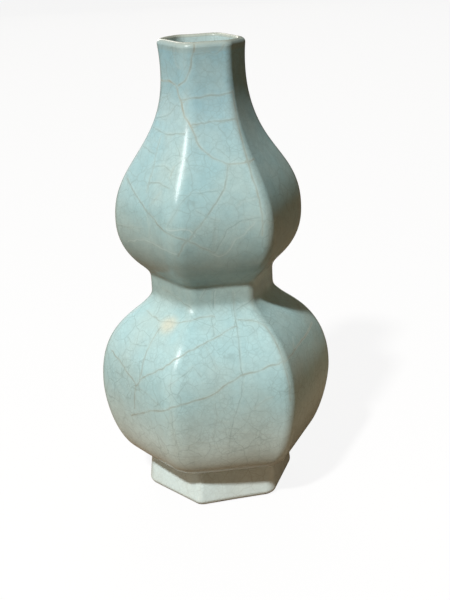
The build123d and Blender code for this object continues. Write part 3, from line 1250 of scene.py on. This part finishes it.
@dataclass
class Wall:
    """What the vase's pieces share: outline, section, unevenness, main cracks and body glaze.

    Spacing is between points up the outline. The glaze is thinnest at the belly's base, and thickens
    over the thin rise. The buff tint there is partly thin glaze and partly painted shade and painted
    brown reflection under the belly.
    """

    outline: Outline = Outline()
    section: Section = Section()
    ripple: Ripple = Ripple()
    glaze: CrackleGlaze = CrackleGlaze()
    spacing: float = 0.8
    panel_columns: int = 97
    # Strength of the buff tint at the belly's base: partly thin glaze, partly painted shade and painted
    # reflection from below.
    base_thin_and_shade: float = 0.9
    thin_rise: float = 7.0
    inside_thin: float = 0.1

    def __post_init__(self) -> None:
        """Lay the main cracks on the outside and mix the body glaze."""
        self.cracks = CrackNet(self.outline, self.section)
        self.laid = self.cracks.lay()
        self.material = self.glaze.material()

    def heights(self, node: str) -> tuple[float, float]:
        """Read a node's lowest and highest heights from the frame, in millimetres."""
        low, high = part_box(node)
        return low.z / METRES, high.z / METRES

    def tier(self, bottom: float, top: float) -> tuple[list[Curve], list[np.ndarray]]:
        """Outline one tier of the wall: up the outside, in, down the inside and out.

        Args:
            bottom: Lower height.
            top: Upper height.

        Returns:
            The four curves, and how thin the glaze is along each.
        """
        outer = self.outline.outer(bottom, top, self.spacing)
        inner = self.outline.inner(outer).turned()
        curves = [outer, Curve.straight(outer, inner), inner, Curve.straight(inner, outer)]
        base = self.outline.stations[0].height
        # Near the belly's base this tint is partly thin glaze and partly painted shade and painted brown
        # reflection from below.
        thins = [self.base_thin_and_shade * np.exp(-(curve.height - base) / self.thin_rise) for curve in curves]
        thins[2] = np.maximum(thins[2], self.inside_thin)
        return curves, thins

    def ring(self, curves: list[Curve], thins: list[np.ndarray], section: Section) -> MeshParts:
        """Carry an outline once round the vase.

        Args:
            curves: Outline of the ring, in order.
            thins: How thin the glaze is along each curve.
            section: Level section to carry it round.

        Returns:
            Arrays of the ring.
        """
        ring = MeshParts()
        columns = Columns.ring(self.panel_columns)
        ring.sweep(curves, thins, columns, section, self.ripple, Ends.CLOSED)
        return ring

    def build_tier(self, node: str, slot: Slot) -> bpy.types.Object:
        """Build and glaze the ring of the wall that spans a node's heights."""
        ring = self.ring(*self.tier(*self.heights(node)), self.section)
        return self.dress(ring, node, self.material, slot)

    def dress(
        self,
        parts: MeshParts,
        node: str,
        material: bpy.types.Material,
        slot: Slot,
    ) -> bpy.types.Object:
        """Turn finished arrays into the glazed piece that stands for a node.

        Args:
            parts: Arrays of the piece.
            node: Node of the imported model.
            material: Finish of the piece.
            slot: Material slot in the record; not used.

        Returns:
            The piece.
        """
        values = self.cracks.measure(np.concatenate(parts.points), self.laid)
        values["thin"] = np.concatenate(parts.thin)
        piece = parts.build(f"{node}_glazed", values)
        piece.data.materials.append(material)
        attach(piece, BODY)
        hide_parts(node)
        return piece


@dataclass
class Foot:
    """The hollow foot, luted on a few degrees off the bulbs, its slip joint and the clay floor over it.

    Its sides lean in from a rounded lower edge to the top, and its well goes straight up inside. Its
    thin glaze is paler than the body's, and ends above a bare edge.
    """

    wall: Wall
    glaze: CrackleGlaze = CrackleGlaze(
        name="thin_celadon_foot_glaze",
        base="#D0E2E1",
        cloud="#D6DED6",
        hair_crack="#A8B3AC",
        thin="#B9AE98",
        bare_to_mm=1.1,
    )
    turn: float = 5.7
    base: float = 34.2
    top: float = 32.6
    thickness: float = 7.2
    arris: float = 5.5
    edge: float = 3.2
    softness: tuple[float, ...] = (1.2, 1.7, 1.0, 1.0, 1.4, 0.8)
    thin_rise: float = 1.2
    slip_thin: float = 0.5
    edge_points: int = 13
    side_points: int = 22
    well_points: int = 20
    sole_points: int = 6
    slip_points: int = 3

    def __post_init__(self) -> None:
        """Turn the section, soften its corners and mix the foot's glaze."""
        turn = np.radians(self.turn)
        self.section = replace(self.wall.section, turn=turn, softness=self.softness)
        self.material = self.glaze.material()

    def upright(self, apothem: float, arris: float, height: np.ndarray) -> Curve:
        """Outline an upright face."""
        return Curve.through(np.full_like(height, apothem), np.full_like(height, arris), height)

    def build_ring(self) -> bpy.types.Object:
        """Build the foot: a quarter circle at the lower edge, then the leaning side, and the well.

        Returns:
            The piece.
        """
        bottom, top = self.wall.heights("foot_ring")
        turn = np.linspace(0, np.pi / 2, self.edge_points)
        edge = self.base - self.edge * (1 - np.sin(turn))
        edge_height = bottom + self.edge * (1 - np.cos(turn))
        rise = np.linspace(bottom + self.edge, top, self.side_points)
        lean = (self.top - self.base) / (top - bottom - self.edge)
        side = self.base + lean * (rise - bottom - self.edge)
        apothem = np.concatenate([edge, side[1:]])
        height = np.concatenate([edge_height, rise[1:]])
        outer = Curve.through(apothem, np.full_like(apothem, self.arris), height)
        fall = np.linspace(top, bottom, self.well_points)
        inner = self.upright(self.top - self.thickness, self.wall.outline.inner_arris, fall)
        sole = Curve.straight(inner, outer, self.sole_points)
        curves = [outer, Curve.straight(outer, inner), inner, sole]
        thins = [np.exp(-curve.height / self.thin_rise) for curve in curves]
        ring = self.wall.ring(curves, thins, self.section)
        return self.wall.dress(ring, "foot_ring", self.material, Slot.FOOT)

    def build_slip(self) -> bpy.types.Object:
        """Build the slip between the foot and the belly, flush with the foot's top.

        Returns:
            The piece.
        """
        rise = np.linspace(*self.wall.heights("foot_slip"), self.slip_points)
        outer = self.upright(self.top, self.arris, rise)
        inner = self.upright(self.top - self.thickness, self.wall.outline.inner_arris, rise[::-1])
        curves = [outer, Curve.straight(outer, inner), inner, Curve.straight(inner, outer)]
        thins = [np.full_like(curve.height, self.slip_thin) for curve in curves]
        ring = self.wall.ring(curves, thins, self.section)
        return self.wall.dress(ring, "foot_slip", self.material, Slot.JOINT)

    def glaze_floor(self) -> bpy.types.Object:
        """Glaze the clay floor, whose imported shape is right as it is.

        Returns:
            The floor's own object.
        """
        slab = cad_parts["floor_slab"]
        slab.data.materials.clear()
        slab.data.materials.append(self.wall.material)
        return slab

    def build(self) -> list[bpy.types.Object]:
        """Build the foot, its slip and the floor, in order."""
        return [self.build_ring(), self.build_slip(), self.glaze_floor()]


@dataclass
class Bulb:
    """Six pressed panels of one bulb and the slip seams between them.

    Its name, lower or upper, starts the names of its nodes.
    """

    wall: Wall
    name: str

    def build(self) -> list[bpy.types.Object]:
        """Build each panel, and then the seams as one piece.

        Returns:
            The panels in order, and the seams.
        """
        wall = self.wall
        curves, thins = wall.tier(*wall.heights(f"{self.name}_panel_1"))
        pieces = []
        seams = MeshParts()
        for facet in range(SIDES):
            panel = MeshParts()
            columns = Columns.panel(facet, wall.panel_columns)
            panel.sweep(curves, thins, columns, wall.section, wall.ripple, Ends.CAPPED)
            pieces.append(wall.dress(panel, f"{self.name}_panel_{facet + 1}", wall.material, Slot.BODY))
            seams.sweep(curves, thins, Columns.seam(facet), wall.section, wall.ripple, Ends.CAPPED)
        pieces.append(wall.dress(seams, f"{self.name}_panel_seams", wall.material, Slot.JOINT))
        return pieces


@dataclass
class Waist:
    """The collar between the bulbs, with a slip joint under it and another over it."""

    wall: Wall
    tiers: tuple[tuple[str, Slot], ...] = (
        ("waist_lower_slip", Slot.JOINT),
        ("waist_collar", Slot.BODY),
        ("waist_upper_slip", Slot.JOINT),
    )

    def build(self) -> list[bpy.types.Object]:
        """Build the tiers, from the lowest up."""
        return [self.wall.build_tier(node, slot) for node, slot in self.tiers]


@dataclass
class Lip:
    """The flared lip with its rounded rim, and the slip joint under it.

    The rim turns over on a broad quarter ellipse outside and a small one inside. The outer share is
    how much of the wall the broad one takes. The glaze is worn thin on the rim.
    """

    wall: Wall
    glaze: CrackleGlaze = CrackleGlaze(name="worn_celadon_lip_glaze", thin="#979582")
    outer_drop: float = 2.4
    inner_drop: float = 1.4
    outer_share: float = 0.6
    thin_fall: float = 3.0
    rim_points: int = 33

    def build_rim(self) -> bpy.types.Object:
        """Build the lip: its outline goes up the outside, over the two ellipses and down the inside.

        Returns:
            The piece.
        """
        outline = self.wall.outline
        spacing = self.wall.spacing / 2
        bottom, top = self.wall.heights("mouth_lip")
        outer = outline.outer(bottom, top - self.outer_drop, spacing)
        inner = outline.inner(outline.outer(bottom, top - self.inner_drop, spacing)).turned()
        start, end = outer.apothem[-1], inner.apothem[0]
        crest = start - self.outer_share * (start - end)
        turn = np.linspace(0, np.pi, self.rim_points)
        rising = turn <= np.pi / 2
        reach = np.where(rising, start - crest, crest - end)
        drop = np.where(rising, self.outer_drop, self.inner_drop)
        share = (1 - np.cos(turn)) / 2
        rim = Curve.through(
            crest + reach * np.cos(turn),
            outer.arris[-1] + share * (inner.arris[0] - outer.arris[-1]),
            top - drop * (1 - np.sin(turn)),
        )
        curves = [outer, rim, inner, Curve.straight(inner, outer)]
        thins = [np.exp(-(top - curve.height) / self.thin_fall) for curve in curves]
        thins[2] = np.minimum(thins[2], self.wall.inside_thin)
        ring = self.wall.ring(curves, thins, self.wall.section)
        return self.wall.dress(ring, "mouth_lip", self.glaze.material(), Slot.LIP)

    def build(self) -> list[bpy.types.Object]:
        """Build the slip joint and then the lip."""
        return [self.wall.build_tier("lip_slip", Slot.JOINT), self.build_rim()]


@dataclass(frozen=True)
class Lamp:
    """A soft studio lamp, hung at an azimuth and an elevation from its target and aimed at it.

    The azimuth counts anticlockwise from +X. Stretch is the lamp's height over its width, and spread
    is the full angle of its beam. Lengths are in metres, angles in degrees and power in watts.
    """

    name: str
    azimuth: float
    elevation: float
    distance: float
    size: float
    power: float
    colour: str
    use: LampUse = LampUse.LIGHT
    stretch: float = 1.0
    spread: float = 180.0
    target: tuple[float, float, float] = (0.0, 0.0, 0.115)

    def hang(self) -> None:
        """Hang the lamp at its distance from its target, and aim it."""
        target = Vector(self.target)
        turn, tilt = np.radians(self.azimuth), np.radians(self.elevation)
        bearing = Vector((np.cos(turn) * np.cos(tilt), np.sin(turn) * np.cos(tilt), np.sin(tilt)))
        light = bpy.data.lights.new(self.name, "AREA")
        light.shape = "ELLIPSE"
        light.size = self.size
        light.size_y = self.size * self.stretch
        light.energy = self.power
        light.spread = np.radians(self.spread)
        light.color = linear(self.colour)[:3]
        lamp = bpy.data.objects.new(self.name, light)
        bpy.context.scene.collection.objects.link(lamp)
        lamp.visible_camera = False
        lamp.visible_diffuse = self.use is not LampUse.HIGHLIGHT
        lamp.visible_glossy = self.use is not LampUse.LIGHT
        aim = bearing.to_track_quat("Z", "Y").to_matrix().to_4x4()
        lamp.matrix_world = Matrix.Translation(target + bearing * self.distance) @ aim


def background_rays(tree: bpy.types.NodeTree) -> bpy.types.NodeSocket:
    """Tell rays that show the background, straight, mirrored or through glass, from those that light.

    Args:
        tree: Nodes of the floor or the world.

    Returns:
        An output that is 1 for rays that show the background and 0 for the others.
    """
    path = add_node(tree, "ShaderNodeLightPath")
    mirrored = add_node(tree, "ShaderNodeMath", {
        0: path.outputs["Is Camera Ray"], 1: path.outputs["Is Glossy Ray"],
    }, operation="MAXIMUM")
    shown = add_node(tree, "ShaderNodeMath", {
        0: mirrored.outputs[0], 1: path.outputs["Is Transmission Ray"],
    }, operation="MAXIMUM")
    return shown.outputs[0]


@dataclass(frozen=True)
class Board:
    """A flat matt card on the stage.

    The floor is the card that the camera sees, with the vase's shadow on it. The others only throw
    light back at the vase, as cards do that stand outside a picture.
    """

    name: str
    colour: str
    corners: tuple[tuple[float, float, float], ...]
    bearing: float = 0.0
    white_share: float = 0.0
    on_camera: bool = False

    def place(self) -> None:
        """Turn the card about the vase to its bearing, colour it and put it on the stage."""
        turn = Matrix.Rotation(np.radians(self.bearing), 4, "Z")
        mesh = bpy.data.meshes.new(self.name)
        mesh.from_pydata([turn @ Vector(corner) for corner in self.corners], [], [(0, 1, 2, 3)])
        mesh.materials.append(self.paper())
        board = bpy.data.objects.new(self.name, mesh)
        bpy.context.scene.collection.objects.link(board)
        board.visible_camera = self.on_camera
        board.visible_diffuse = not self.on_camera
        board.visible_glossy = not self.on_camera
        board.visible_shadow = False

    def paper(self) -> bpy.types.Material:
        """Make the card's matt paper, which shows partly white where it is the background.

        Returns:
            The material.
        """
        material = bpy.data.materials.new(f"{self.name}_paper")
        material.use_nodes = True
        tree = material.node_tree
        tree.nodes.clear()
        matt = add_node(tree, "ShaderNodeBsdfDiffuse", {"Color": linear(self.colour)})
        white = add_node(tree, "ShaderNodeEmission", {"Color": (1, 1, 1, 1), "Strength": 1.0})
        share = add_node(tree, "ShaderNodeMath", {
            0: background_rays(tree), 1: self.white_share,
        }, operation="MULTIPLY")
        mixed = add_node(tree, "ShaderNodeMixShader", {
            0: share.outputs[0], 1: matt.outputs[0], 2: white.outputs[0],
        })
        add_node(tree, "ShaderNodeOutputMaterial", {"Surface": mixed.outputs[0]})
        return material


@dataclass(frozen=True)
class Studio:
    """The pale floor, the cards and lamps round the vase, and the camera at the photograph's angle."""

    boards: tuple[Board, ...] = (
        Board(
            "pale_floor",
            "#F6F5F2",
            ((-6, -6, 0), (6, -6, 0), (6, 6, 0), (-6, 6, 0)),
            white_share=0.9,
            on_camera=True,
        ),
        Board(
            "pale_card",
            "#8C7B6A",
            ((-6, -6, 0), (0.03, -6, 0), (0.03, 6, 0), (-6, 6, 0)),
            bearing=30.0,
        ),
        Board(
            "brown_card",
            "#75634D",
            ((0.03, -6, 0), (6, -6, 0), (6, 6, 0), (0.03, 6, 0)),
            bearing=30.0,
        ),
        Board(
            "brown_flag",
            "#4A4030",
            ((0.9, 2, 0), (0.9, -2, 0), (0.9, -2, 2), (0.9, 2, 2)),
            bearing=30.0,
        ),
    )
    fill_colour: str = "#6A563E"
    lamps: tuple[Lamp, ...] = (
        Lamp("key", -124.5, 48.0, 2.4, 0.18, 72.0, "#FFFFFF"),
        Lamp("glint", -136.5, 46.0, 2.4, 0.5, 29.0, "#FFFFFF", LampUse.HIGHLIGHT, stretch=2.8),
        Lamp("left_fill", -172.0, 12.0, 1.6, 0.8, 2.8, "#FFF8EE"),
        Lamp("right_bounce", -14.0, -16.0, 0.2, 0.1, 0.03, "#FFE2C8"),
        Lamp(
            "waist_bounce", -25.0, -38.0, 0.15, 0.03, 0.0004, "#FFDCC4",
            spread=8.0, target=(0.024, -0.0139, 0.109),
        ),
        Lamp("back_fill", 88.0, 22.0, 2.0, 1.6, 22.0, "#FFF8EE", LampUse.BOTH),
    )
    camera_bearing: float = -6.77
    camera_out: float = 0.5756
    camera_height: float = 0.3093
    camera_pitch: float = 20.17
    camera_yaw: float = -0.585
    camera_roll: float = -2.474
    lens: float = 72.0

    def build(self) -> None:
        """Set up everything round the vase."""
        bpy.context.scene.view_settings.view_transform = "Standard"
        for board in self.boards:
            board.place()
        self.light_room()
        for lamp in self.lamps:
            lamp.hang()
        self.set_camera()

    def light_room(self) -> None:
        """Fill the room with a low warm light, behind a background that shows white."""
        world = bpy.data.worlds.new("room")
        bpy.context.scene.world = world
        world.use_nodes = True
        tree = world.node_tree
        tree.nodes.clear()
        fill = add_node(tree, "ShaderNodeBackground", {"Color": linear(self.fill_colour), "Strength": 1.0})
        white = add_node(tree, "ShaderNodeBackground", {"Color": (1, 1, 1, 1), "Strength": 1.0})
        either = add_node(tree, "ShaderNodeMixShader", {
            0: background_rays(tree), 1: fill.outputs[0], 2: white.outputs[0],
        })
        add_node(tree, "ShaderNodeOutputWorld", {"Surface": either.outputs[0]})

    def set_camera(self) -> None:
        """Set the camera at the photograph's place, from its bearing, height, pitch, yaw and roll."""
        bearing, turn = np.radians([self.camera_bearing, self.camera_bearing + self.camera_yaw])
        pitch, roll = np.radians([self.camera_pitch, self.camera_roll])
        place = Vector((
            np.sin(bearing) * self.camera_out,
            -np.cos(bearing) * self.camera_out,
            self.camera_height,
        ))
        ahead = Vector((-np.sin(turn) * np.cos(pitch), np.cos(turn) * np.cos(pitch), -np.sin(pitch)))
        right = ahead.cross(Vector((0, 0, 1))).normalized()
        above = right.cross(ahead)
        rolled_right = np.cos(roll) * right + np.sin(roll) * above
        rolled_above = np.cos(roll) * above - np.sin(roll) * right
        lens = bpy.data.cameras.new("camera")
        lens.lens = self.lens
        camera = bpy.data.objects.new("camera", lens)
        bpy.context.scene.collection.objects.link(camera)
        axes = Matrix((rolled_right, rolled_above, -ahead)).transposed()
        camera.matrix_world = Matrix.Translation(place) @ axes.to_4x4()
        bpy.context.scene.camera = camera


def main() -> None:
    """Build the vase and the studio round it."""
    logging.basicConfig(level=logging.INFO, format="%(name)s: %(message)s")
    wall = Wall()
    assemblies = (Foot(wall), Bulb(wall, "lower"), Waist(wall), Bulb(wall, "upper"), Lip(wall))
    for assembly in assemblies:
        for piece in assembly.build():
            LOG.info("%s: %d faces", piece.name, len(piece.data.polygons))
    Studio().build()


if __name__ == "__main__":
    main()
